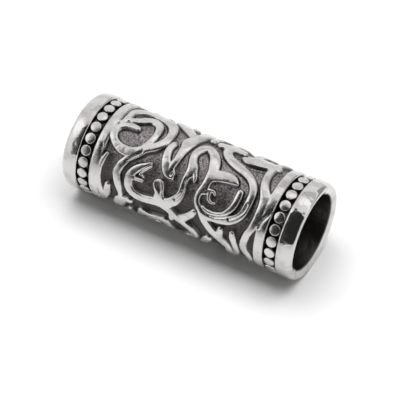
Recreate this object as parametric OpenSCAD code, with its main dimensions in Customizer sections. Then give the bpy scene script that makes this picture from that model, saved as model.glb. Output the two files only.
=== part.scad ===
// Large-hole hair and beard bead: one cast tube with rounded rims, two bands of pips
// and a band of raised scrollwork that repeats twice round the tube.
// The bead lies on its side, with its bore along X and the floor at Z = 0.

/* [Tube] */
// Length from end to end
bead_l = 26.3; // [24:0.1:32]
// Diameter of the plain hole that the hair goes through
bore_d = 8; // [7:0.1:8.2]

/* [Rims] */
// Diameter over the polished rims
rim_d = 10.35; // [10.35:0.05:11]
// Length of each rim along the tube
rim_w = 1.75; // [1.4:0.05:2.4]
// Radius of the rounded outer edge of a rim
lip_r = 0.85; // [0.3:0.05:0.9]
// Radius of the eased edge of the hole
ease_r = 0.2; // [0.1:0.05:0.2]
// Depth of the barely visible flat under each rim, which keeps the bead from rolling
rest_flat = 0.05; // [0.02:0.01:0.05]

/* [Pip bands] */
// Length of each sunk channel along the tube
channel_w = 1.35; // [1.25:0.05:1.6]
// Diameter of the floor of the channels
channel_d = 9.1; // [9:0.1:9.3]
// Pips in each channel
pips = 24; // [16:1:24]
// Diameter of one pip
pip_d = 1.15; // [0.7:0.05:1.15]
// Radius of a pip's gently domed top
dome_r = 3; // [1:0.5:5]

/* [Scrollwork] */
// Diameter over the tops of the scrolls
scroll_d = 10.2; // [10:0.05:10.2]
// Diameter of the sunk ground between the scrolls
ground_d = 9.3; // [9.2:0.05:9.5]
// Width of the plain ring at each end of the scrollwork
ring_w = 1.1; // [0.8:0.05:1.2]
// How far a scroll's side spreads from its top to its foot
draft = 0.12; // [0.05:0.01:0.2]
// Distance between the sections of a scroll
section_gap = 0.6; // [0.6:0.1:1]

/* [Hidden] */
$fn = 96;
TURN = 360;

// The chart of the scrollwork: each scroll is a brush stroke, with a row for each place
// where it bends or swells. The columns are the place along the tube and the width of
// the stroke, in millimetres, and between them the angle round the tube in degrees.
ALONG = 0;
ANGLE = 1;
WIDTH = 2;
// Length of the field that the chart is drawn for
CHART_L = 20.1;
// The chart covers this much of the way round and is then repeated
REPEAT = 180;
SCROLLS = [
    // Hooked scroll at the left
    [[-6.75, 4, 0.6], [-7.3, 4, 0.7], [-7.9, 5.5, 0.65], [-8.45, 9.5, 0.65], [-8.7, 16, 0.75],
     [-8.65, 22, 0.75], [-8.3, 28, 0.75], [-7.8, 32, 0.85], [-7.1, 34.5, 1], [-6.3, 34, 1],
     [-5.6, 30.5, 0.9], [-4.7, 22.5, 0.85], [-4.1, 17.5, 0.85], [-3.65, 11, 0.85], [-3.4, 3, 0.8],
     [-3.4, -6, 0.8], [-3.6, -15, 0.9], [-4.1, -24, 1.05], [-4.9, -31, 1.15], [-6, -34.5, 1.15],
     [-7.2, -33, 1.05], [-8, -27, 0.8], [-8.4, -19, 0.7], [-8.4, -10, 0.6], [-8.45, -3, 0.55]],
    // Curl inside it
    [[-5.2, 22, 0.4], [-4.85, 15, 0.55], [-4.7, 7, 0.6], [-4.7, 0, 0.65],
     [-4.85, -8, 0.75], [-5.2, -14, 0.85], [-5.85, -17, 0.95], [-6.5, -14.5, 0.9], [-7, -9, 0.8],
     [-7.6, -5, 0.65], [-8.25, -3, 0.5], [-8.6, 4, 0.5]],
    // Long wave below it
    [[-5, 29, 0.5], [-5.6, 36, 0.6], [-6.15, 42, 0.65], [-6.55, 49, 0.8], [-6.8, 56, 0.8],
     [-6.9, 63, 0.8], [-6.75, 70, 0.75], [-6.5, 78, 0.7], [-6.3, 85, 0.5], [-6.2, 92, 0.5],
     [-6.15, 98, 0.9], [-6.35, 104, 1.25], [-6.65, 112, 1.2], [-6.9, 121, 1], [-6.9, 130, 0.95],
     [-6.5, 138, 1], [-6, 146, 1.1]],
    // Its foot
    [[-6.1, 95.5, 0.7], [-5.2, 95.5, 0.75]],
    // Slip along the left ring
    [[-8.45, 46, 0.3], [-8.65, 53, 0.4], [-8.8, 62, 0.45], [-8.85, 75, 0.5], [-8.75, 88, 0.6],
     [-8.6, 98, 0.6], [-8.5, 108, 0.6]],
    // Leaf beside the slip
    [[-7.7, 83.5, 0.55], [-7.75, 90, 0.7], [-7.85, 97, 0.75], [-8.1, 105, 0.7], [-8.4, 113, 0.65],
     [-8.8, 120, 0.6]],
    // Great bow in the middle, which runs on into the arch, the right scroll and a stem
    [[-3.65, 37, 0.2], [-4.1, 41, 0.45], [-4.65, 46, 0.65], [-5.1, 52, 0.8], [-5.4, 59, 0.85],
     [-5.45, 66, 0.85], [-5.35, 73, 0.85], [-4.95, 79, 0.85], [-4.3, 82, 0.85], [-3.4, 82, 0.85],
     [-2.4, 79.5, 0.85], [-1.5, 77.5, 0.9], [-0.7, 73, 1], [-0.1, 67, 1], [0.25, 60, 0.8],
     [0.35, 53, 0.65], [0.3, 45, 0.6], [0.3, 37, 0.6], [0.45, 31, 0.85], [0.5, 24, 1.05],
     [0.2, 17, 0.85], [0, 10, 0.75], [0, 3, 0.75], [0.3, -5, 0.85], [0.85, -9.5, 0.8],
     [1.45, -5.5, 0.9], [1.95, 1, 1], [2.3, 9, 1.1], [2.5, 17, 1], [2.5, 24, 0.85],
     [2.5, 32, 0.8], [2.4, 40, 0.8], [2.15, 47, 0.65], [2.1, 54, 0.55], [2.3, 60, 0.55],
     [2.7, 65, 0.65], [3.3, 67.5, 0.75], [4.2, 68.5, 0.8], [5.1, 67, 0.85], [5.9, 64, 0.85],
     [6.6, 58.5, 0.75], [7.05, 51, 0.7], [7.2, 43, 0.7], [7.25, 35, 0.7], [7.25, 27, 0.7],
     [7.1, 20, 0.75], [6.8, 14, 0.75], [6.3, 8.5, 0.75], [5.6, 4, 0.8], [4.8, 0.5, 0.9],
     [4, -3, 0.95], [3.3, -7, 0.9], [2.8, -12, 0.9], [2.55, -17, 0.9], [2.45, -24, 0.85],
     [2.45, -33, 0.85], [2.6, -43, 0.85], [2.95, -55, 0.85], [3.3, -64, 0.85], [3.6, -71, 0.85],
     [3.85, -76, 0.7]],
    // Thorn inside the bow
    [[-5.2, 61.5, 0.35], [-4, 60.5, 0.3]],
    // Bud that stands in the bow
    [[-2.2, 56.5, 1.1], [-2.05, 61, 1.05], [-1.9, 66, 0.9], [-1.85, 70, 1.05], [-1.8, 76, 1.3]],
    // Tip inside the arch
    [[0.8, 26, 0.5], [1.1, 32, 0.4], [1.2, 37, 0.25]],
    // Forked branch below the bow, and its arm and stub
    [[-1.3, 79, 0.9], [-0.4, 83, 0.85], [0.3, 89, 0.85], [1, 93, 0.8], [1.65, 98, 0.8],
     [2.1, 104, 0.7], [2.3, 111, 0.7], [1.9, 118, 0.7], [1.2, 125, 0.7], [0.65, 133, 0.7],
     [0.45, 143, 0.7], [0.45, 152, 0.65]],
    [[2.1, 71.5, 0.55], [1.85, 76.5, 0.7], [1.4, 82, 0.75], [0.9, 87, 0.8], [0.4, 90, 0.7]],
    [[-0.3, 88, 0.5], [-0.3, 95, 0.5]],
    // Long leg of the lower arch, which runs on round the tube
    [[-1.15, 106.5, 0.95], [-0.9, 116, 0.9], [-0.75, 130, 1], [-0.65, 143, 1.1], [-0.7, 154, 1.1],
     [-0.95, 164, 1], [-1.3, 175, 1.3], [-1.3, 182, 1], [-1.35, 190, 0.8], [-1.4, 200, 0.65],
     [-1.55, 210, 0.65], [-1.65, 218, 0.6]],
    // Bud under the lower arch
    [[-2.4, 121, 0.35], [-2.4, 127, 0.75], [-2.35, 133, 0.6], [-2.2, 139, 0.3]],
    // Leaf beside the lower arch
    [[-5.3, 113, 0.3], [-5.5, 120, 0.65], [-5.5, 128, 0.7], [-5.2, 136, 0.5]],
    // Hook in the middle
    [[-2.5, 5, 0.6], [-2.65, 12, 0.65], [-2.6, 19, 0.75], [-2.4, 27, 0.85], [-2.1, 34, 0.9],
     [-1.8, 40, 0.7], [-1.45, 43.5, 0.35], [-1, 43.5, 0.2]],
    // Claw inside the right scroll
    [[2.7, 24, 1.1], [3.4, 20, 1.2], [4.2, 18, 1.15], [4.8, 18.5, 0.9], [5.2, 20, 0.5],
     [5.4, 21, 0.25]],
    // Two small barbs on the arch
    [[2.6, 44, 0.5], [3.05, 40, 0.35], [3.5, 39.5, 0.3], [3.75, 42.5, 0.2]],
    [[3.1, 42, 0.3], [3.2, 48, 0.3], [3.55, 52, 0.25], [3.95, 51.5, 0.2]],
    // Curl inside the right scroll
    [[6.05, 29, 0.6], [6.05, 36, 0.65], [6, 43, 0.6], [5.8, 50, 0.6], [5.45, 56, 0.55],
     [5.1, 60, 0.5], [4.3, 63.5, 0.45], [3.5, 64, 0.4], [2.9, 62, 0.4]],
    // Crossbar at the top
    [[1.55, -27, 1], [2.3, -29, 0.95], [3.1, -29.5, 0.9], [3.75, -29.5, 0.9]],
    // Broad leaf at the top
    [[4.4, -17.5, 0.45], [4.95, -17.5, 1.1], [5.6, -20.5, 1.65], [6.3, -23, 1.75],
     [7, -24.5, 1.5], [7.8, -24, 0.9]],
    // Wave that runs all the way round beside the right ring
    [[7.6, -21, 0.7], [7.55, -10, 0.7], [7.65, 0, 0.75], [7.85, 8, 0.8], [8.15, 15, 0.9],
     [8.5, 22, 1], [8.65, 30, 0.9], [8.7, 40, 0.85], [8.65, 50, 0.8], [8.5, 58, 0.75],
     [8.3, 65, 0.7], [8.05, 72, 0.7], [7.9, 80, 0.7], [7.8, 88, 0.7], [7.9, 95, 0.7],
     [8.2, 102, 0.65], [8.4, 109, 0.65], [8.4, 117, 0.65], [8.1, 126, 0.7], [7.8, 136, 0.7],
     [7.6, 146, 0.7], [7.6, 152, 0.7]],
    // Stem at the lower right, with its spur
    [[2.9, 68, 0.7], [3.3, 74, 0.85], [3.75, 80, 0.9], [4.3, 86, 0.95], [4.95, 91, 1.05],
     [5.5, 96.5, 1], [5.95, 103, 0.8], [6.15, 111, 0.75], [5.9, 121, 0.7], [5.5, 131, 0.7],
     [5.3, 142, 0.75], [5.6, 152, 0.9]],
    [[5.2, 79.5, 0.5], [5.2, 86, 0.6], [5.1, 91, 0.6]],
    // Leaf beside the stem
    [[6.5, 78.5, 0.5], [6.6, 84, 0.65], [6.8, 91, 0.6], [6.95, 98, 0.6], [7.05, 105, 0.6],
     [6.95, 112, 0.6], [6.6, 119, 0.5], [6.1, 125, 0.4]],
    // Bar across the lower arch, and its short leg
    [[-3.75, 107.5, 0.95], [-2.9, 110, 0.9], [-2.1, 109, 0.9], [-1.15, 106.5, 0.95]],
    [[-1.55, 160, 0.8], [-2.2, 153, 1], [-2.9, 146, 1.15], [-3.7, 137, 1], [-4.15, 127, 0.9],
     [-4.1, 117, 0.9], [-3.75, 107.5, 0.95]],
];

half_l = bead_l / 2;
bore_r = bore_d / 2;
rim_r = rim_d / 2;
channel_r = channel_d / 2;
scroll_r = scroll_d / 2;
field_half = half_l - rim_w - channel_w;
// The pips stop a little short of the scrolls, as the polishing wheel reaches them less
pip_drop = 0.05;
pip_top_r = scroll_r - pip_drop;
stretch = 2 * field_half / CHART_L;

// The tube's wall carries the scrollwork on a seat that lies below the ground, and what
// is fused there reaches this far into its neighbour
lap = 0.1;
seat_r = (bore_r + ground_d / 2) / 2;
inner_r = bore_r + 2 * lap;
root_r = seat_r + lap;
// Flats round the ground; the plain rings have twice as many
facets = 36;
// Turns the ground's flats away from the whole degrees of the chart
ground_turn = 3.3;
// Scrolls that meet differ in height by this much
under = 0.03;
LEVELS = 4;
// The rings lie over all scrolls, but don't reach the surface that the rims rest on
ring_rise = 0.01;
ring_r = scroll_r + ring_rise;

function arc_mm(angle) = angle * PI / 180 * scroll_r;
function angle_of(mm) = mm / scroll_r * 180 / PI;
function distance(a, b) = norm([b[ALONG] - a[ALONG], arc_mm(b[ANGLE] - a[ANGLE])]);

// A point of the smooth curve that passes through rows b and c
function between(a, b, c, d, t) =
    0.5 * (2 * b + (c - a) * t + (2 * a - 5 * b + 4 * c - d) * t ^ 2
        + (3 * b - a - 3 * c + d) * t ^ 3);

function smooth(rows) = [
    for (i = [0 : len(rows) - 2])
        let (a = rows[max(i - 1, 0)], b = rows[i], c = rows[i + 1],
             d = rows[min(i + 2, len(rows) - 1)],
             steps = max(1, round(distance(b, c) / section_gap)))
            for (k = [0 : steps - 1]) between(a, b, c, d, k / steps),
    rows[len(rows) - 1],
];

// Unit direction of a stroke at its station i, along the tube and round it
function heading(path, i) =
    let (ahead = path[min(i + 1, len(path) - 1)], behind = path[max(i - 1, 0)],
         run = [ahead[ALONG] - behind[ALONG], arc_mm(ahead[ANGLE] - behind[ANGLE])])
        run / norm(run);

function on_tube(along, angle, r) = [along * stretch, -r * sin(angle), r * cos(angle)];

// Section across a stroke: foot, two top corners and foot
function section(station, way, half_w, top_r) = [
    for (corner = [[-1, draft, root_r], [-1, 0, top_r], [1, 0, top_r], [1, draft, root_r]])
        let (side = corner[0] * (half_w + corner[1]))
            on_tube(station[ALONG] - way[1] * side, station[ANGLE] + angle_of(way[0] * side), corner[2])
];

// A stroke is drawn in to half its width over a third of it, beyond its first or last station
function end_section(station, way, beyond, top_r) =
    let (reach = beyond * station[WIDTH] / 3)
        section([station[ALONG] + way[0] * reach, station[ANGLE] + angle_of(way[1] * reach)],
                way, station[WIDTH] / 4, top_r);

module scroll(rows, top_r) {
    path = smooth(rows);
    last = len(path) - 1;
    sections = [
        end_section(path[0], heading(path, 0), -1, top_r),
        for (i = [0 : last]) section(path[i], heading(path, i), path[i][WIDTH] / 2, top_r),
        end_section(path[last], heading(path, last), 1, top_r),
    ];
    corners = 4;
    n = len(sections);
    polyhedron(
        points = [for (s = sections) each s],
        faces = [
            [for (k = [0 : corners - 1]) k],
            for (i = [0 : n - 2], k = [0 : corners - 1])
                let (here = corners * i, next = here + corners, turn = (k + 1) % corners)
                    [here + k, next + k, next + turn, here + turn],
            [for (k = [corners - 1 : -1 : 0]) corners * (n - 1) + k],
        ]);
}

module along_x() {
    rotate([0, 90, 0]) children();
}

// Ground sleeve with a plain ring at each end, under the scrolls
module ground() {
    rotate([ground_turn, 0, 0]) along_x() difference() {
        union() {
            cylinder(d = ground_d, h = 2 * field_half, center = true, $fn = facets);
            for (end = [-1, 1])
                translate([0, 0, end * (field_half - ring_w / 2)])
                    cylinder(r = ring_r, h = ring_w, center = true, $fn = 2 * facets);
        }
        cylinder(r = inner_r, h = bead_l, center = true, $fn = facets);
    }
}

// The ground and all its scrolls as one surface, brought to the field's exact length
module scrollwork() {
    color("silver") resize([2 * field_half, 0, 0]) {
        ground();
        for (i = [0 : len(SCROLLS) - 1], turn = [0 : REPEAT : TURN - REPEAT])
            scroll([for (row = SCROLLS[i]) [row[ALONG], row[ANGLE] + turn, row[WIDTH]]],
                   scroll_r - under * (i % LEVELS));
    }
}

// Half of the wall's outline, from the middle to the rounded end of the rim
module wall_outline() {
    lip_x = half_l - lip_r;
    square_from([0, bore_r], [field_half + channel_w, seat_r]);
    square_from([field_half - lap, bore_r], [half_l - rim_w, channel_r]);
    square_from([half_l - rim_w, bore_r], [lip_x, rim_r]);
    square_from([lip_x, bore_r + ease_r], [half_l, rim_r - lip_r]);
    square_from([lip_x, bore_r], [half_l - ease_r, bore_r + ease_r]);
    // The rest of the lip's circle would reach into the hole
    intersection() {
        translate([lip_x, rim_r - lip_r]) circle(lip_r);
        square_from([lip_x, rim_r - lip_r], [half_l, rim_r]);
    }
    translate([half_l - ease_r, bore_r + ease_r]) circle(ease_r);
}

module square_from(low, high) {
    translate(low) square(high - low);
}

// Plain tube with its two channels and rims, and the flat that it rests on
module tube() {
    color("silver") for (end = [0, 1])
        mirror([end, 0, 0]) difference() {
            along_x() rotate_extrude() mirror([1, -1]) wall_outline();
            translate([half_l - bead_l / 4, 0, -rim_r])
                cube([bead_l / 2, rim_d, 2 * rest_flat], center = true);
        }
}

module pip() {
    rotate_extrude() intersection() {
        translate([0, pip_top_r - dome_r]) circle(dome_r);
        square_from([0, channel_r - lap], [pip_d / 2, pip_top_r]);
    }
}

// A ring of pips in each channel
module pip_bands() {
    pitch = TURN / pips;
    color("silver") for (end = [-1, 1], i = [0 : pips - 1])
        translate([end * (field_half + channel_w / 2), 0, 0])
            rotate([(i + 0.5) * pitch, 0, 0]) pip();
}

module bead() {
    translate([0, 0, rim_r - rest_flat]) {
        tube();
        pip_bands();
        scrollwork();
    }
}

bead();
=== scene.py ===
# %% [markdown]
# # Viking bead in oxidised steel
# The real bead is a short tube for a braid or a beard, cast in one piece from a wax. Its two
# rims, two bands of pips and raised scrollwork are polished, and everything that lies lower
# has been blackened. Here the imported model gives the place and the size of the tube, and
# the pieces below are built round it, in metres, on the same axes: the bore runs along X
# and the floor is at Z = 0.

import math

import bmesh
import bpy
import numpy as np
from mathutils import Matrix, Vector, noise


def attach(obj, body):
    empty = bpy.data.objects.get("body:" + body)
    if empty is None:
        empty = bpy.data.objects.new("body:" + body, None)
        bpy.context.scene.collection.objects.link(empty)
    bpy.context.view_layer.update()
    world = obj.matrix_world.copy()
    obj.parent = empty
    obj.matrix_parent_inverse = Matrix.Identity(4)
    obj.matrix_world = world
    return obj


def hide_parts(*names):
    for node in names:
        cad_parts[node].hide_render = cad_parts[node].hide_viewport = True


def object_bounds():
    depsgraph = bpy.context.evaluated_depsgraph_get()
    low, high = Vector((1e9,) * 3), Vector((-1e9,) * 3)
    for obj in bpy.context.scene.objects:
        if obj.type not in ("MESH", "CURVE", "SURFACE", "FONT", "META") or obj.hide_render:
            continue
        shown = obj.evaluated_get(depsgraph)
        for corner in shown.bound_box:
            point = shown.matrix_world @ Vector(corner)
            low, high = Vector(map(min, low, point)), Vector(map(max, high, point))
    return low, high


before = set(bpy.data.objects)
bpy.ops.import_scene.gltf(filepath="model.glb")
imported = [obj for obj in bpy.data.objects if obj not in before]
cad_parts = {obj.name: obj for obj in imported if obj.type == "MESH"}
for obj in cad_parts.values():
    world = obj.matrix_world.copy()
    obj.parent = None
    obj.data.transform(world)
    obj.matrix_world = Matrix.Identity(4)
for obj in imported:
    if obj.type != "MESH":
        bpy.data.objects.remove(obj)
cad_low, cad_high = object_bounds()
NODE, SLOT, BODY = "bead", "oxidised_steel", "root"
print("solid model from", tuple(cad_low), "to", tuple(cad_high))

# %% [markdown]
# ## Measures
# A jeweller would note these on the drawing of the wax. The length and the rim come from
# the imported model, so the looks fit it exactly. The rest are radii, and widths along the
# tube.

# %% Measures of the tube
MM = 0.001
half_l = cad_high.x
rim_r = cad_high.y
axis_z = cad_high.z - rim_r
bore_r, seat_r, channel_r = 4.0 * MM, 4.42 * MM, 4.55 * MM
rim_w, channel_w = 1.75 * MM, 1.35 * MM
field_half = half_l - rim_w - channel_w
print("field of scrollwork:", round(2 * field_half / MM, 2), "mm long")

# %% [markdown]
# ## Camera
# The photograph looks down on the bead from in front and to the right, from a little under
# 19 cm with a long lens, so its lines hardly converge. The three unit vectors are the
# camera's own right, forward and up. Setting them straight into the matrix is surer than
# aiming a camera by hand.

# %% Camera
turned, tipped = math.radians(29.78), math.radians(47.65)
right = Vector((math.cos(turned), math.sin(turned), 0))
level_forward = Vector((-math.sin(turned), math.cos(turned), 0))
forward = level_forward * math.cos(tipped) - Vector((0, 0, math.sin(tipped)))
up = right.cross(forward)
away, across, lifted = 187.9 * MM, 0.15 * MM, -1.53 * MM

camera = bpy.data.objects.new("camera", bpy.data.cameras.new("camera"))
bpy.context.collection.objects.link(camera)
camera.matrix_world = Matrix((right, up, -forward)).transposed().to_4x4()
camera.location = Vector((0, 0, axis_z)) + across * right + lifted * up - away * forward
camera.data.lens, camera.data.sensor_width = 168.1, 36
camera.data.clip_start = 10 * MM
bpy.context.scene.camera = camera
print("camera at", [round(c, 4) for c in camera.location])

# %% [markdown]
# ## A first helper
# Every piece ends in the same way: the bmesh becomes an object at the origin, with smooth
# faces. One function keeps the cells short, and prints how heavy the piece is.


# %% Turn a bmesh into a piece
def finished(name, bm, material):
    for face in bm.faces:
        face.smooth = True
    mesh = bpy.data.meshes.new(name)
    bm.to_mesh(mesh)
    bm.free()
    mesh.materials.append(material)
    piece = bpy.data.objects.new(name, mesh)
    bpy.context.collection.objects.link(piece)
    triangles = sum(len(face.vertices) - 2 for face in mesh.polygons)
    print(f"{name}: {len(mesh.vertices)} vertices, {triangles} triangles")
    return piece


# %% [markdown]
# ## Shader maths
# A finish is mostly arithmetic on masks. One small class wraps the output of a node, so
# that `1 - mask * 0.5` adds its Math nodes by itself. Its `node` method adds any other node
# from a type, its settings and the values or links of its inputs.


# %% Sockets that can be reckoned with
class Socket:
    def __init__(self, tree, output=None):
        self.tree, self.output = tree, output

    def node(self, kind, settings=None, inputs=None, output=0):
        made = self.tree.nodes.new(kind)
        for name, value in (settings or {}).items():
            setattr(made, name, value)
        for name, value in (inputs or {}).items():
            if isinstance(value, Socket):
                self.tree.links.new(value.output, made.inputs[name])
            else:
                made.inputs[name].default_value = value
        return Socket(self.tree, made.outputs[output])

    def math(self, operation, first, second=0.0):
        return self.node("ShaderNodeMath", {"operation": operation}, {0: first, 1: second})

    def __add__(self, other):
        return self.math("ADD", self, other)

    def __sub__(self, other):
        return self.math("SUBTRACT", self, other)

    def __rsub__(self, other):
        return self.math("SUBTRACT", other, self)

    def __mul__(self, other):
        return self.math("MULTIPLY", self, other)

    __radd__, __rmul__ = __add__, __mul__

    def __abs__(self):
        return self.math("ABSOLUTE", self)

    def either(self, other):
        return self.math("MAXIMUM", self, other)

    def between(self, low, high):
        """Rises softly from 0 at low to 1 at high, or falls where low is the larger."""
        return self.node(
            "ShaderNodeMapRange",
            {"interpolation_type": "SMOOTHSTEP"},
            {"Value": self, "From Min": low, "From Max": high},
        )

    def blend(self, first, second):
        """The colour first where this mask is 0, and second where it is 1."""
        return self.node("ShaderNodeMix", {"data_type": "RGBA"}, {0: self, 6: first, 7: second}, 2)


def grey(level, warmth=0.0):
    return (level * (1 + warmth), level, level * (1 - warmth), 1)


# %% [markdown]
# ## The finish
# After casting, the whole bead is dipped to blacken it. Then the high places are polished
# bright again, so the black stays wherever the wheel can't reach. A painter could draw that
# by hand, but a mask reckoned from the shape follows every edge by itself: `bright` says
# how far a place was polished, and drives the colour, the gloss and the bump. A second mask
# marks the foot of every raised edge and the low places, which keep most of the black and
# are painted with shade as well. In the open ground the pits are the darkest, and the upper
# side is painted paler, as light falling from above.


# %% Noise over the bead
def place_on_bead(tree):
    """Object coordinates in millimetres, from the middle of the bead's axis."""
    at = Socket(tree).node("ShaderNodeTexCoord", output=3)
    return at.node(
        "ShaderNodeMapping",
        inputs={"Vector": at, "Location": (0, 0, -axis_z / MM), "Scale": (1 / MM,) * 3},
    )


def speckle(at, scale, detail=2.0, roughness=0.5):
    values = {"Vector": at, "Scale": scale, "Detail": detail, "Roughness": roughness}
    return at.node("ShaderNodeTexNoise", inputs=values)


# %% Oxidised steel
STEEL, TARNISHED = grey(0.61, 0.018), grey(0.47, 0.035)
PITS, OPEN_GROUND = (0.04, 0.035, 0.036, 1), (0.075, 0.066, 0.068, 1)
# The upper ground's paler colour is painted light. The hollows' colour is their oxide with painted
# shade.
GROUND_WITH_PAINTED_LIGHT, HOLLOW_OXIDE_AND_SHADE = (0.53, 0.485, 0.5, 1), grey(0.1, 0.06)
GROUND_ROUGHNESS = 0.35
# What each flaw adds to the roughness of polished steel
TARNISH_DULLS, END_DULLS, SCRATCH_DULLS = 0.08, 0.06, 0.4
# Heights in the bump, in millimetres
GRAIN_HIGH, PATCH_HIGH, WAVE_HIGH, SCRATCH_HIGH = 0.03, 0.07, 0.02, 0.01


def oxidised_steel(name, masks_from, best):
    """A steel whose polished places have the roughness best, where nothing dulls them."""
    material = bpy.data.materials.new(name)
    material.use_nodes = True
    tree = material.node_tree
    shader = tree.nodes["Principled BSDF"]
    shader.inputs["Metallic"].default_value = 1.0
    at = place_on_bead(tree)
    fine, patches = speckle(at, 8.0, 3.0), speckle(at, 0.7, 2.0)
    grain, waves = speckle(at, 6.0, 4.0, 0.7), speckle(at, 1.8, 1.0)
    brushed = at.node(
        "ShaderNodeMapping", inputs={"Vector": at, "Rotation": (0.3, 0, 0.5), "Scale": (1, 9, 9)}
    )
    scratches = speckle(brushed, 1.2, 1.0)

    bright, hollow_oxide_and_shade = masks_from(at, fine)
    tarnish = patches.between(0.45, 0.75)
    steel = tarnish.blend(STEEL, TARNISHED)
    height = at.node("ShaderNodeSeparateXYZ", inputs={"Vector": at}, output=2)
    # Painted light: the ground is painted paler from near the axis up to the top, as lit from
    # above.
    ground = height.between(0.8, 5).blend(OPEN_GROUND, GROUND_WITH_PAINTED_LIGHT)
    ground = grain.between(0.3, 0.75).blend(PITS, ground)
    # The hollows keep their oxide, with painted shade on it, at the foot of raised edges and in
    # low places.
    dark = hollow_oxide_and_shade.blend(ground, HOLLOW_OXIDE_AND_SHADE)
    colour = bright.blend(dark, steel)

    worn_end = at.node("ShaderNodeSeparateXYZ", inputs={"Vector": at}).between(-4, -12)
    scratched = (scratches - 0.5) * best
    polished = best + tarnish * TARNISH_DULLS + worn_end * END_DULLS + scratched * SCRATCH_DULLS
    roughness = (1 - bright) * GROUND_ROUGHNESS + bright * polished
    relief = (grain - 0.5) * (1 - bright) * GRAIN_HIGH + (patches - 0.5) * PATCH_HIGH
    relief = relief + (waves - 0.5) * WAVE_HIGH + scratched * bright * SCRATCH_HIGH
    bump = relief.node("ShaderNodeBump", inputs={"Distance": MM, "Height": relief})
    for socket, value in (("Base Color", colour), ("Roughness", roughness), ("Normal", bump)):
        tree.links.new(value.output, shader.inputs[socket])
    print(f"{name}: {len(tree.nodes)} nodes")
    return material


# %% Where a place lies on the tube
def radius_at(at):
    """Distance from the bead's axis, in millimetres."""
    times = {"operation": "MULTIPLY"}
    across_axis = at.node("ShaderNodeVectorMath", times, {0: at, 1: (0, 1, 1)})
    length = {"operation": "LENGTH"}
    return at.node("ShaderNodeVectorMath", length, {0: across_axis}, "Value")


def from_middle(at):
    """Distance from the middle of the bead along its axis, in millimetres."""
    return abs(at.node("ShaderNodeSeparateXYZ", inputs={"Vector": at}))


# %% [markdown]
# ## The tube
# The tube with its rims and channels is a turned shape, and so was the wax. Its section has
# only sharp corners at first and is spun round the X axis. The end face slopes in a little
# to the hole, and three short slopes, each flatter than the one before, lead from it to the
# outside of the rim. Then each corner ring is bevelled by its own amount, which runs those
# slopes together into one soft lip. A bevel after the spin keeps the section short enough
# to read. Underneath, the solid model's rims have a flat of a few hundredths of a
# millimetre that they rest on, and the last lines press it in.

# %% Spin the section
SPIN_STEPS = 240
under_field = field_half - 0.1 * MM
CORNERS = [
    # Place along X, radius, and size and segments of the bevel, from the hole outwards
    (half_l - 0.27 * MM, bore_r, 0.16 * MM, 4),
    (half_l, rim_r - 0.43 * MM, 0.09 * MM, 4),
    (half_l - 0.11 * MM, rim_r - 0.22 * MM, 0.12 * MM, 4),
    (half_l - 0.42 * MM, rim_r - 0.06 * MM, 0.17 * MM, 4),
    (half_l - 0.85 * MM, rim_r, 0.2 * MM, 4),
    (half_l - rim_w, rim_r, 0.18 * MM, 4),
    (half_l - rim_w, channel_r, 0.1 * MM, 2),
    (under_field, channel_r, 0, 0),
    (under_field, seat_r, 0, 0),
]
section = [(x, r) for x, r, _, _ in CORNERS]
section += [(-x, r) for x, r in reversed(section)]

bm = bmesh.new()
corners = [bm.verts.new((x, 0, r)) for x, r in section]
for here, ahead in zip(corners, corners[1:] + corners[:1]):
    bm.edges.new((here, ahead))
bmesh.ops.spin(
    bm, geom=bm.verts[:] + bm.edges[:], axis=(1, 0, 0), angle=math.tau, steps=SPIN_STEPS,
    use_merge=True,
)
bmesh.ops.recalc_face_normals(bm, faces=bm.faces)
print("spun faces:", len(bm.faces), "open edges:", sum(e.is_boundary for e in bm.edges))


# %% Round each corner ring
NEARLY = 0.001 * MM  # two measures this close are taken as the same


def ring_edges(bm, x, r):
    """The edges of one corner ring, at both ends of the bead."""
    def on_ring(vert):
        off_x, off_r = abs(vert.co.x) - x, math.hypot(vert.co.y, vert.co.z) - r
        return abs(off_x) < NEARLY and abs(off_r) < NEARLY
    return [edge for edge in bm.edges if all(on_ring(vert) for vert in edge.verts)]


for x, r, size, segments in CORNERS:
    if segments == 0:
        continue
    bmesh.ops.bevel(
        bm, geom=ring_edges(bm, x, r), offset=size, offset_type="OFFSET", segments=segments,
        profile=0.5, affect="EDGES", material=-1,
    )
bmesh.ops.translate(bm, verts=bm.verts, vec=(0, 0, axis_z))
for vert in bm.verts:
    vert.co.z = max(vert.co.z, 0)
print("rounded faces:", len(bm.faces))


# %% Polish of the tube
UNEVEN = 0.06  # how far the border of the polish strays, in millimetres


def masks_on_tube(at, fine):
    """How bright a place is, and how much of the hollows' oxide and painted shade it has, by its
    radius in millimetres.
    """
    r = radius_at(at) + (fine - 0.5) * UNEVEN
    rim = r.between(4.62, 4.98)
    lip = from_middle(at).between(12.6, 12.95) * r.between(4.02, 4.2)
    return rim.either(lip), r.between(4.7, 4.6)


RIM_ROUGHNESS, PIP_ROUGHNESS, SCROLL_ROUGHNESS = 0.1, 0.18, 0.22
tube = finished("tube", bm, oxidised_steel("rim_steel", masks_on_tube, RIM_ROUGHNESS))

# %% [markdown]
# ## The pips
# Each channel holds a row of pips, like a string of beads that was laid into the wax. The
# wheel has ground their tops almost flat. One pip is a short cylinder with a bevelled upper
# edge, and its top is poked so that it crowns a little. The same bmesh then gets a turned
# copy for every place. Copies in one piece are simpler to export than many linked objects.

# %% One pip
PIPS, PIP_SEGMENTS, PIP_EDGE_STEPS = 24, 28, 3
pip_r, pip_top_r, pip_edge, pip_crown = 0.57 * MM, 5.04 * MM, 0.09 * MM, 0.02 * MM

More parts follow.
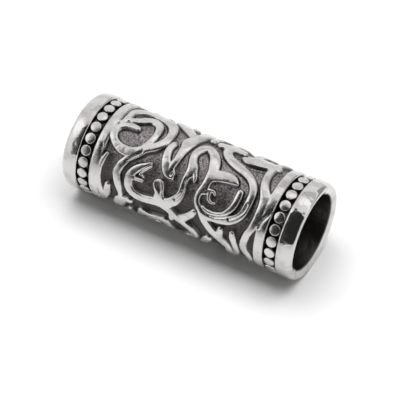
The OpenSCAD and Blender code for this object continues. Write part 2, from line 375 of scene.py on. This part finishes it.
one = bmesh.new()
pip_high = pip_top_r - seat_r
bmesh.ops.create_cone(
    one, cap_ends=True, segments=PIP_SEGMENTS, radius1=pip_r, radius2=pip_r, depth=pip_high,
    matrix=Matrix.Translation((0, 0, seat_r + pip_high / 2)),
)
upper = [e for e in one.edges if all(v.co.z > pip_top_r - NEARLY for v in e.verts)]
bmesh.ops.bevel(
    one, geom=upper, offset=pip_edge, offset_type="OFFSET", segments=PIP_EDGE_STEPS,
    profile=0.5, affect="EDGES", material=-1,
)
top = max(one.faces, key=lambda face: face.calc_center_median().z)
bmesh.ops.poke(one, faces=[top], offset=pip_crown)
print("one pip has", len(one.faces), "faces, open edges:", sum(e.is_boundary for e in one.edges))

# %% All the pips
pip_x = field_half + channel_w / 2
single = bpy.data.meshes.new("one_pip")
one.to_mesh(single)
one.free()
bm = bmesh.new()
for side in (-1, 1):
    for k in range(PIPS):
        before = len(bm.verts)
        bm.from_mesh(single)
        turn = Matrix.Rotation(math.tau * (k + 0.5) / PIPS, 4, "X")
        place = Matrix.Translation((side * pip_x, 0, axis_z)) @ turn
        bmesh.ops.transform(bm, matrix=place, verts=bm.verts[before:])


def masks_on_pips(at, fine):
    r = radius_at(at) + (fine - 0.5) * UNEVEN
    # The second mask gives the pips' sides the hollows' oxide with painted shade.
    return r.between(4.86, 5.0), r.between(5.0, 4.9)


pips = finished("pips", bm, oxidised_steel("pip_steel", masks_on_pips, PIP_ROUGHNESS))

# %% [markdown]
# ## The chart of the scrolls
# A carver lays a pattern out flat before wrapping it round the wax. Each scroll is a brush
# stroke, with a row for each place where it bends or swells: the place along the tube and
# the width of the stroke in millimetres, and between them the angle round the tube in
# degrees. The chart covers half the way round and is then repeated. It is the chart that
# the solid model is made from.

# %% Scrolls
ALONG, ANGLE, WIDTH = 0, 1, 2
SCROLLS = [
    # Hooked scroll at the left
    [[-6.75, 4, 0.6], [-7.3, 4, 0.7], [-7.9, 5.5, 0.65], [-8.45, 9.5, 0.65], [-8.7, 16, 0.75],
     [-8.65, 22, 0.75], [-8.3, 28, 0.75], [-7.8, 32, 0.85], [-7.1, 34.5, 1], [-6.3, 34, 1],
     [-5.6, 30.5, 0.9], [-4.7, 22.5, 0.85], [-4.1, 17.5, 0.85], [-3.65, 11, 0.85], [-3.4, 3, 0.8],
     [-3.4, -6, 0.8], [-3.6, -15, 0.9], [-4.1, -24, 1.05], [-4.9, -31, 1.15], [-6, -34.5, 1.15],
     [-7.2, -33, 1.05], [-8, -27, 0.8], [-8.4, -19, 0.7], [-8.4, -10, 0.6], [-8.45, -3, 0.55]],
    # Curl inside it
    [[-5.2, 22, 0.4], [-4.85, 15, 0.55], [-4.7, 7, 0.6], [-4.7, 0, 0.65],
     [-4.85, -8, 0.75], [-5.2, -14, 0.85], [-5.85, -17, 0.95], [-6.5, -14.5, 0.9], [-7, -9, 0.8],
     [-7.6, -5, 0.65], [-8.25, -3, 0.5], [-8.6, 4, 0.5]],
    # Long wave below it
    [[-5, 29, 0.5], [-5.6, 36, 0.6], [-6.15, 42, 0.65], [-6.55, 49, 0.8], [-6.8, 56, 0.8],
     [-6.9, 63, 0.8], [-6.75, 70, 0.75], [-6.5, 78, 0.7], [-6.3, 85, 0.5], [-6.2, 92, 0.5],
     [-6.15, 98, 0.9], [-6.35, 104, 1.25], [-6.65, 112, 1.2], [-6.9, 121, 1], [-6.9, 130, 0.95],
     [-6.5, 138, 1], [-6, 146, 1.1]],
    # Its foot
    [[-6.1, 95.5, 0.7], [-5.2, 95.5, 0.75]],
    # Slip along the left ring
    [[-8.45, 46, 0.3], [-8.65, 53, 0.4], [-8.8, 62, 0.45], [-8.85, 75, 0.5], [-8.75, 88, 0.6],
     [-8.6, 98, 0.6], [-8.5, 108, 0.6]],
    # Leaf beside the slip
    [[-7.7, 83.5, 0.55], [-7.75, 90, 0.7], [-7.85, 97, 0.75], [-8.1, 105, 0.7], [-8.4, 113, 0.65],
     [-8.8, 120, 0.6]],
    # Great bow in the middle, which runs on into the arch, the right scroll and a stem
    [[-3.65, 37, 0.2], [-4.1, 41, 0.45], [-4.65, 46, 0.65], [-5.1, 52, 0.8], [-5.4, 59, 0.85],
     [-5.45, 66, 0.85], [-5.35, 73, 0.85], [-4.95, 79, 0.85], [-4.3, 82, 0.85], [-3.4, 82, 0.85],
     [-2.4, 79.5, 0.85], [-1.5, 77.5, 0.9], [-0.7, 73, 1], [-0.1, 67, 1], [0.25, 60, 0.8],
     [0.35, 53, 0.65], [0.3, 45, 0.6], [0.3, 37, 0.6], [0.45, 31, 0.85], [0.5, 24, 1.05],
     [0.2, 17, 0.85], [0, 10, 0.75], [0, 3, 0.75], [0.3, -5, 0.85], [0.85, -9.5, 0.8],
     [1.45, -5.5, 0.9], [1.95, 1, 1], [2.3, 9, 1.1], [2.5, 17, 1], [2.5, 24, 0.85],
     [2.5, 32, 0.8], [2.4, 40, 0.8], [2.15, 47, 0.65], [2.1, 54, 0.55], [2.3, 60, 0.55],
     [2.7, 65, 0.65], [3.3, 67.5, 0.75], [4.2, 68.5, 0.8], [5.1, 67, 0.85], [5.9, 64, 0.85],
     [6.6, 58.5, 0.75], [7.05, 51, 0.7], [7.2, 43, 0.7], [7.25, 35, 0.7], [7.25, 27, 0.7],
     [7.1, 20, 0.75], [6.8, 14, 0.75], [6.3, 8.5, 0.75], [5.6, 4, 0.8], [4.8, 0.5, 0.9],
     [4, -3, 0.95], [3.3, -7, 0.9], [2.8, -12, 0.9], [2.55, -17, 0.9], [2.45, -24, 0.85],
     [2.45, -33, 0.85], [2.6, -43, 0.85], [2.95, -55, 0.85], [3.3, -64, 0.85], [3.6, -71, 0.85],
     [3.85, -76, 0.7]],
    # Thorn inside the bow
    [[-5.2, 61.5, 0.35], [-4, 60.5, 0.3]],
    # Bud that stands in the bow
    [[-2.2, 56.5, 1.1], [-2.05, 61, 1.05], [-1.9, 66, 0.9], [-1.85, 70, 1.05], [-1.8, 76, 1.3]],
    # Tip inside the arch
    [[0.8, 26, 0.5], [1.1, 32, 0.4], [1.2, 37, 0.25]],
    # Forked branch below the bow, and its arm and stub
    [[-1.3, 79, 0.9], [-0.4, 83, 0.85], [0.3, 89, 0.85], [1, 93, 0.8], [1.65, 98, 0.8],
     [2.1, 104, 0.7], [2.3, 111, 0.7], [1.9, 118, 0.7], [1.2, 125, 0.7], [0.65, 133, 0.7],
     [0.45, 143, 0.7], [0.45, 152, 0.65]],
    [[2.1, 71.5, 0.55], [1.85, 76.5, 0.7], [1.4, 82, 0.75], [0.9, 87, 0.8], [0.4, 90, 0.7]],
    [[-0.3, 88, 0.5], [-0.3, 95, 0.5]],
    # Long leg of the lower arch, which runs on round the tube
    [[-1.15, 106.5, 0.95], [-0.9, 116, 0.9], [-0.75, 130, 1], [-0.65, 143, 1.1], [-0.7, 154, 1.1],
     [-0.95, 164, 1], [-1.3, 175, 1.3], [-1.3, 182, 1], [-1.35, 190, 0.8], [-1.4, 200, 0.65],
     [-1.55, 210, 0.65], [-1.65, 218, 0.6]],
    # Bud under the lower arch
    [[-2.4, 121, 0.35], [-2.4, 127, 0.75], [-2.35, 133, 0.6], [-2.2, 139, 0.3]],
    # Leaf beside the lower arch
    [[-5.3, 113, 0.3], [-5.5, 120, 0.65], [-5.5, 128, 0.7], [-5.2, 136, 0.5]],
    # Hook in the middle
    [[-2.5, 5, 0.6], [-2.65, 12, 0.65], [-2.6, 19, 0.75], [-2.4, 27, 0.85], [-2.1, 34, 0.9],
     [-1.8, 40, 0.7], [-1.45, 43.5, 0.35], [-1, 43.5, 0.2]],
    # Claw inside the right scroll
    [[2.7, 24, 1.1], [3.4, 20, 1.2], [4.2, 18, 1.15], [4.8, 18.5, 0.9], [5.2, 20, 0.5],
     [5.4, 21, 0.25]],
    # Two small barbs on the arch
    [[2.6, 44, 0.5], [3.05, 40, 0.35], [3.5, 39.5, 0.3], [3.75, 42.5, 0.2]],
    [[3.1, 42, 0.3], [3.2, 48, 0.3], [3.55, 52, 0.25], [3.95, 51.5, 0.2]],
    # Curl inside the right scroll
    [[6.05, 29, 0.6], [6.05, 36, 0.65], [6, 43, 0.6], [5.8, 50, 0.6], [5.45, 56, 0.55],
     [5.1, 60, 0.5], [4.3, 63.5, 0.45], [3.5, 64, 0.4], [2.9, 62, 0.4]],
    # Crossbar at the top
    [[1.55, -27, 1], [2.3, -29, 0.95], [3.1, -29.5, 0.9], [3.75, -29.5, 0.9]],
    # Broad leaf at the top
    [[4.4, -17.5, 0.45], [4.95, -17.5, 1.1], [5.6, -20.5, 1.65], [6.3, -23, 1.75],
     [7, -24.5, 1.5], [7.8, -24, 0.9]],
    # Wave that runs all the way round beside the right ring
    [[7.6, -21, 0.7], [7.55, -10, 0.7], [7.65, 0, 0.75], [7.85, 8, 0.8], [8.15, 15, 0.9],
     [8.5, 22, 1], [8.65, 30, 0.9], [8.7, 40, 0.85], [8.65, 50, 0.8], [8.5, 58, 0.75],
     [8.3, 65, 0.7], [8.05, 72, 0.7], [7.9, 80, 0.7], [7.8, 88, 0.7], [7.9, 95, 0.7],
     [8.2, 102, 0.65], [8.4, 109, 0.65], [8.4, 117, 0.65], [8.1, 126, 0.7], [7.8, 136, 0.7],
     [7.6, 146, 0.7], [7.6, 152, 0.7]],
    # Stem at the lower right, with its spur
    [[2.9, 68, 0.7], [3.3, 74, 0.85], [3.75, 80, 0.9], [4.3, 86, 0.95], [4.95, 91, 1.05],
     [5.5, 96.5, 1], [5.95, 103, 0.8], [6.15, 111, 0.75], [5.9, 121, 0.7], [5.5, 131, 0.7],
     [5.3, 142, 0.75], [5.6, 152, 0.9]],
    [[5.2, 79.5, 0.5], [5.2, 86, 0.6], [5.1, 91, 0.6]],
    # Leaf beside the stem
    [[6.5, 78.5, 0.5], [6.6, 84, 0.65], [6.8, 91, 0.6], [6.95, 98, 0.6], [7.05, 105, 0.6],
     [6.95, 112, 0.6], [6.6, 119, 0.5], [6.1, 125, 0.4]],
    # Bar across the lower arch, and its short leg
    [[-3.75, 107.5, 0.95], [-2.9, 110, 0.9], [-2.1, 109, 0.9], [-1.15, 106.5, 0.95]],
    [[-1.55, 160, 0.8], [-2.2, 153, 1], [-2.9, 146, 1.15], [-3.7, 137, 1], [-4.15, 127, 0.9],
     [-4.1, 117, 0.9], [-3.75, 107.5, 0.95]],
]
print(len(SCROLLS), "scrolls with", sum(len(rows) for rows in SCROLLS), "rows")

# %% [markdown]
# Where two scrolls lie against each other, a fine cut line parts them on the real bead, and
# a few ridges are no thicker than a hair. Both have a chart of their own, with the same
# columns. They are too thin for the solid model and are left to the looks.

# %% Hair ridges and cut lines
RIDGES = [
    # Second edge of the bow's horn, with its barb
    [[-4.4, 54, 0.16], [-4.2, 49.5, 0.17], [-3.85, 45, 0.16], [-3.5, 40.5, 0.12]],
    [[-4.35, 53, 0.14], [-3.95, 55.5, 0.12]],
    # Spur on the tip of the middle hook
    [[-1.35, 44, 0.2], [-1.1, 41, 0.2], [-1.05, 37.5, 0.18], [-1.25, 34, 0.15]],
    # Upright between the arch's barbs
    [[3.1, 41, 0.18], [3.15, 46, 0.18], [3.25, 50.5, 0.2]],
]
CUTS = [
    # Hollow of the bud in the bow
    [[-2.25, 55, 0.55], [-2.12, 58, 0.42], [-1.9, 61.5, 0.25], [-1.8, 64, 0.12]],
    # Inside the bow's right edge
    [[-0.05, 64.5, 0.12], [0.35, 57.5, 0.15], [0.48, 51.5, 0.16], [0.46, 46, 0.15],
     [0.42, 39.5, 0.1]],
    # Between the right scroll and its curl
    [[2.6, 58, 0.12], [2.75, 61.5, 0.13], [3, 64.3, 0.15], [3.4, 66.2, 0.15], [3.95, 66.7, 0.15],
     [4.6, 65.2, 0.15], [5.3, 61.8, 0.16], [5.85, 57.5, 0.18]],
    # Where the right scroll splits into two strands
    [[5.9, 61.3, 0.12], [6.5, 56, 0.15], [6.9, 50.5, 0.16], [7.15, 44.5, 0.15], [7.2, 39, 0.1]],
    # Start of the long wave
    [[-5, 30, 0.12], [-5.45, 35.5, 0.15], [-5.85, 40, 0.15], [-6.2, 46, 0.1]],
    # Tick at the left ring
    [[-9.2, 38.5, 0.12], [-9.1, 44, 0.15], [-9.05, 51, 0.1]],
    # Where the right wave meets its ring
    [[9.9, 34, 0.12], [9.65, 40.5, 0.15], [9.35, 46, 0.15], [9.15, 52, 0.15], [9.1, 58, 0.12]],
]
print(len(RIDGES), "ridges and", len(CUTS), "cut lines")

# %% [markdown]
# ## How far from the edge
# To raise the scrolls smoothly, every place of the flat pattern has to know how far it lies
# from the nearest edge: below zero inside a scroll and above zero on the ground. Each
# stroke is smoothed into a curve through its rows, and each short piece of that curve
# writes its distances into the part of a square lattice that it can reach. The strokes then
# flow together softly, as wax does where two strands are joined.

# %% Smooth a stroke
TOP_R = 5.1
ARC = math.radians(1) * TOP_R
HALF_ROUND = 180 * ARC
GAP = 0.12


def smoothed(rows, turn):
    """The curve through the rows, in millimetres, after a turn round the tube in degrees."""
    rows = np.array(rows, float)
    rows[:, ANGLE] = (rows[:, ANGLE] + turn) * ARC
    bends = []
    for i in range(len(rows) - 1):
        before, here = rows[max(i - 1, 0)], rows[i]
        ahead, after = rows[i + 1], rows[min(i + 2, len(rows) - 1)]
        steps = max(1, round(math.dist(here[ALONG:WIDTH], ahead[ALONG:WIDTH]) / GAP))
        t = np.arange(steps)[:, None] / steps
        curve = 2 * here + (ahead - before) * t
        curve += (2 * before - 5 * here + 4 * ahead - after) * t**2
        curve += (3 * here - before - 3 * ahead + after) * t**3
        bends.append(curve / 2)
    return np.vstack(bends + [rows[-1:]])


print("first scroll:", len(smoothed(SCROLLS[0], 0)), "points from", len(SCROLLS[0]), "rows")

# %% Distances on a lattice
COLUMNS, ROWS, SPARE = 238, 190, 3  # the spare rows past each seam give it true slopes
FAR, TINY = 0.7, 1e-12  # and TINY lets a piece of no length be divided by its length
field_mm = field_half / MM
along = np.linspace(-field_mm, field_mm, COLUMNS + 1)
cell_x, cell_s = 2 * field_mm / COLUMNS, HALF_ROUND / ROWS
round_it = np.arange(-SPARE, ROWS + SPARE + 1) * cell_s
print(f"cells of {cell_x:.3f} by {cell_s:.3f} mm")


def stamped(rows, turn):
    """Distance from the edge of one stroke over the lattice, and FAR out of its reach."""
    edge = np.full((len(along), len(round_it)), FAR)
    path = smoothed(rows, turn)
    for (x0, s0, w0), (x1, s1, w1) in zip(path, path[1:]):
        reach = max(w0, w1) / 2 + FAR
        i = slice(*np.searchsorted(along, (min(x0, x1) - reach, max(x0, x1) + reach)))
        j = slice(*np.searchsorted(round_it, (min(s0, s1) - reach, max(s0, s1) + reach)))
        off_x, off_s = along[i, None] - x0, round_it[None, j] - s0
        run_x, run_s = x1 - x0, s1 - s0
        t = np.clip((off_x * run_x + off_s * run_s) / (run_x**2 + run_s**2 + TINY), 0, 1)
        gap = np.hypot(off_x - t * run_x, off_s - t * run_s) - (w0 + t * (w1 - w0)) / 2
        edge[i, j] = np.minimum(edge[i, j], gap)
    return edge


def joined(edges, softness):
    """The edge of all strokes together, with soft inner corners."""
    return -softness * np.log(sum(np.exp(-edge / softness) for edge in edges))


# %% The whole pattern
RING_IN, WALL = 8.95, 0.14
TURNS = (-180, 0, 180)
STROKES_MELT, CUTS_MELT, CUT_DEPTH = 0.03, 0.02, 0.04  # in millimetres
ring = np.maximum(RING_IN - abs(along), abs(along) - (field_mm - WALL))
ring = np.repeat(ring[:, None], len(round_it), axis=1)
raised = [stamped(rows, turn) for rows in SCROLLS + RIDGES for turn in TURNS]
strokes = joined([ring] + raised, STROKES_MELT)
cut = joined([stamped(rows, turn) for rows in CUTS for turn in TURNS], CUTS_MELT)
edge = -joined([-strokes, np.maximum(cut, -CUT_DEPTH)], CUTS_MELT)
print(f"raised share of the field: {(edge < 0).mean():.2f}")

# %% [markdown]
# ## Pull the lattice onto the edges
# Straight rows of a lattice cross a curved edge in steps, which a mirror finish would show
# at once. So every corner that lies near the upper edge of a scroll, or near its foot, is
# moved straight onto that line. The slope of the distances says which way that is.

# %% Clean edges
BROW, SHOULDER, FOOT = -0.085, 0.0, 0.12
STEEP = 0.6  # on a flatter slope the way to the edge isn't sure, so nothing is moved
slope_x, slope_s = np.gradient(edge, cell_x, cell_s)
steepness = np.hypot(slope_x, slope_s)
shift = np.zeros_like(edge)
for line in (BROW, SHOULDER, FOOT):
    near = (abs(edge - line) < cell_x / 2) & (steepness > STEEP)
    shift[near] = line - edge[near]
shift[[0, -1]] = 0
place_x = along[:, None] + shift * slope_x / np.maximum(steepness, STEEP)
place_s = round_it[None] + shift * slope_s / np.maximum(steepness, STEEP)
edge = edge + shift
half = slice(SPARE, SPARE + ROWS)
place_x, place_s, edge = place_x[:, half], place_s[:, half], edge[:, half]
print(f"corners on an edge: {(shift != 0).mean():.2f}")

# %% [markdown]
# ## Raise the scrolls
# Across its edge a scroll has one section everywhere: a flat polished top, a shoulder that
# the wheel has rounded, a steep side and a soft foot. It is a small table of radius against
# the distance from the edge. The flat lattice is a bmesh grid, and each corner of it is
# wrapped round the axis at the radius that the table gives. Slow noise makes the tops a
# little uneven, as hand polishing does, and quick noise makes the ground rough.

# %% Section across an edge
PROFILE = np.array([
    [-0.5, 5.1], [-0.25, 5.095], [-0.085, 5.075], [0.0, 5.02], [0.03, 4.96], [0.09, 4.78],
    [0.12, 4.70], [0.17, 4.66], [0.25, 4.645],
])
radius = np.interp(edge, PROFILE[:, 0], PROFILE[:, 1])
print(f"radius from {radius.min():.3f} to {radius.max():.3f} mm")

# %% Wrap the field round the tube
SLOW, QUICK, NOISE_HIGH = 0.9, 2.5, 0.02
SUNK_FROM, SUNK_WITHIN = 0.1, 0.1
SEAM = 0.0001 * MM
sunk = np.clip((edge - SUNK_FROM) / SUNK_WITHIN, 0, 1)
bm = bmesh.new()
bmesh.ops.create_grid(bm, x_segments=COLUMNS, y_segments=2 * ROWS, size=0.5)
edge_layer = bm.verts.layers.float.new("edge")
for vert in bm.verts:
    i, j = round((vert.co.x + 0.5) * COLUMNS), round((vert.co.y + 0.5) * 2 * ROWS)
    turn, row = divmod(j, ROWS)
    angle = math.radians(place_s[i, row] / ARC + 180 * turn)
    x, r = place_x[i, row], radius[i, row]
    spot = Vector((x, -r * math.sin(angle), r * math.cos(angle)))
    r += NOISE_HIGH * (noise.noise(spot * SLOW) + sunk[i, row] * noise.noise(spot * QUICK))
    vert[edge_layer] = edge[i, row]
    vert.co = Vector((x, -r * math.sin(angle), r * math.cos(angle))) * MM
bmesh.ops.remove_doubles(bm, verts=bm.verts, dist=SEAM)
print("field:", len(bm.verts), "corners")

# %% Close it towards the tube's wall
rims = [e for e in bm.edges if e.is_boundary]
made = bmesh.ops.extrude_edge_only(bm, edges=rims)["geom"]
for vert in [part for part in made if isinstance(part, bmesh.types.BMVert)]:
    inward = seat_r / math.hypot(vert.co.y, vert.co.z)
    vert.co.y, vert.co.z = vert.co.y * inward, vert.co.z * inward
bmesh.ops.bridge_loops(bm, edges=[e for e in bm.edges if e.is_boundary])
bmesh.ops.recalc_face_normals(bm, faces=bm.faces)
bmesh.ops.translate(bm, verts=bm.verts, vec=(0, 0, axis_z))
print("open edges:", sum(e.is_boundary for e in bm.edges))


# %% Polish of the scrolls
EDGE_UNEVEN = 0.05


def masks_on_scrolls(at, fine):
    """How bright a place is, and how much of the hollows' oxide and painted shade it has, by its
    distance from a scroll's edge.
    """
    edge = at.node("ShaderNodeAttribute", {"attribute_name": "edge"}, output=2)
    edge = edge + (fine - 0.5) * EDGE_UNEVEN
    return edge.between(0.06, 0.0), edge.between(0.2, 0.1)


scroll_steel = oxidised_steel("scroll_steel", masks_on_scrolls, SCROLL_ROUGHNESS)
scrollwork = finished("scrollwork", bm, scroll_steel)

# %% [markdown]
# ## Floor and light
# The bead was photographed on white, under a soft light straight above it, with the camera's
# own side of the room left dark. Polished steel shows nothing but its surroundings, so these
# make most of its look: the white room gives the bright upper sides, the dark side gives the
# dark band below them with its crisp ends, and the lit floor gives the bright band under
# that. Photographers hang a black cloth, a flag, to get such a band, and white and grey
# cards round it to draw streaks. Here they are bent sheets that only reflections can see.
# A sheet's two ends may span different angles, so that its edge lies slanted: the dark band
# starts higher up on the right end of the bead than on the left.

# %% White floor
FLOOR_R, PAPER_WHITE = 1.2, 0.9
bm = bmesh.new()
bmesh.ops.create_circle(bm, cap_ends=True, segments=64, radius=FLOOR_R)
white = bpy.data.materials.new("white_floor")
white.use_nodes = True
paper = white.node_tree.nodes["Principled BSDF"]
paper.inputs["Base Color"].default_value = grey(PAPER_WHITE)
paper.inputs["Roughness"].default_value = 0.9
floor = finished("floor", bm, white)

# %% Flag and cards
SHEET_AWAY, SHEET_STEPS = 0.2, 24
SHEETS = [
    # Name, brightness, then for the left and the right end: place along X, and first and last
    # angle from straight up
    ("flag", 0.02, (-0.062, 8, 83), (0.35, 8, 83)),
    ("flag_end", 0.06, (-0.106, 68, 84), (-0.062, 8, 83)),
    ("left_card", 1.5, (-0.3, 4, 45), (-0.11, 4, 45)),
    ("hot_card", 1.5, (-0.11, 12, 34), (-0.075, 12, 26)),
    ("white_card", 1.45, (-0.075, -27, -9), (0.3, -27, -9)),
    ("grey_card", 0.68, (-0.084, -47, -31), (0.35, -47, -31)),
    ("low_card", 0.85, (-0.07, -88, -70), (0.02, -88, -70)),
    ("back_card", 0.4, (0.02, -89, -58), (0.35, -89, -58)),
]
for name, brightness, *ends in SHEETS:
    bm = bmesh.new()
    for x, first, last in ends:
        start = Vector((x, 0, SHEET_AWAY)) @ Matrix.Rotation(math.radians(-first), 3, "X")
        bmesh.ops.spin(
            bm, geom=[bm.verts.new(start)], axis=(1, 0, 0), angle=math.radians(last - first),
            steps=SHEET_STEPS,
        )
    bmesh.ops.bridge_loops(bm, edges=bm.edges[:])
    glow = bpy.data.materials.new(name)
    glow.use_nodes = True
    shader = glow.node_tree.nodes["Principled BSDF"]
    shader.inputs["Base Color"].default_value = grey(0)
    shader.inputs["Roughness"].default_value = 1.0
    shader.inputs["Emission Color"].default_value = grey(brightness)
    shader.inputs["Emission Strength"].default_value = 1.0
    sheet = finished(name, bm, glow)
    sheet.visible_camera = sheet.visible_diffuse = sheet.visible_shadow = False


# %% Soft boxes
def soft_box(name, behind, high, size, brightness):
    """A lamp over the bead which lights the floor, and which the steel doesn't mirror."""
    lamp = bpy.data.lights.new(name, "AREA")
    lamp.shape = "RECTANGLE"
    lamp.size, lamp.size_y = size
    lamp.energy = brightness * math.pi * size[0] * size[1]
    box = bpy.data.objects.new(name, lamp)
    bpy.context.collection.objects.link(box)
    box.location = (0, behind, high)
    box.visible_glossy = False
    print(f"{name}: {lamp.energy:.2f} W")


soft_box("strip", behind=0.06, high=0.35, size=(0.42, 0.3), brightness=4.3)
soft_box("fill", behind=0, high=0.5, size=(1.6, 1.6), brightness=0.3)

# %% White room
ROOM_WHITE = 1.05
world = bpy.data.worlds.new("room")
bpy.context.scene.world = world
world.use_nodes = True
world.node_tree.nodes["Background"].inputs["Color"].default_value = grey(ROOM_WHITE)
world.cycles_visibility.diffuse = False
bpy.context.scene.view_settings.view_transform = "Standard"

# %% [markdown]
# ## Tie to the model
# Every piece rides on the imported model's one body and stands for its one solid, which is
# then not shown. The looks must not be larger than the solid model.

# %% Tie the pieces to the model
for piece in (tube, pips, scrollwork):
    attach(piece, BODY)
    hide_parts(NODE)
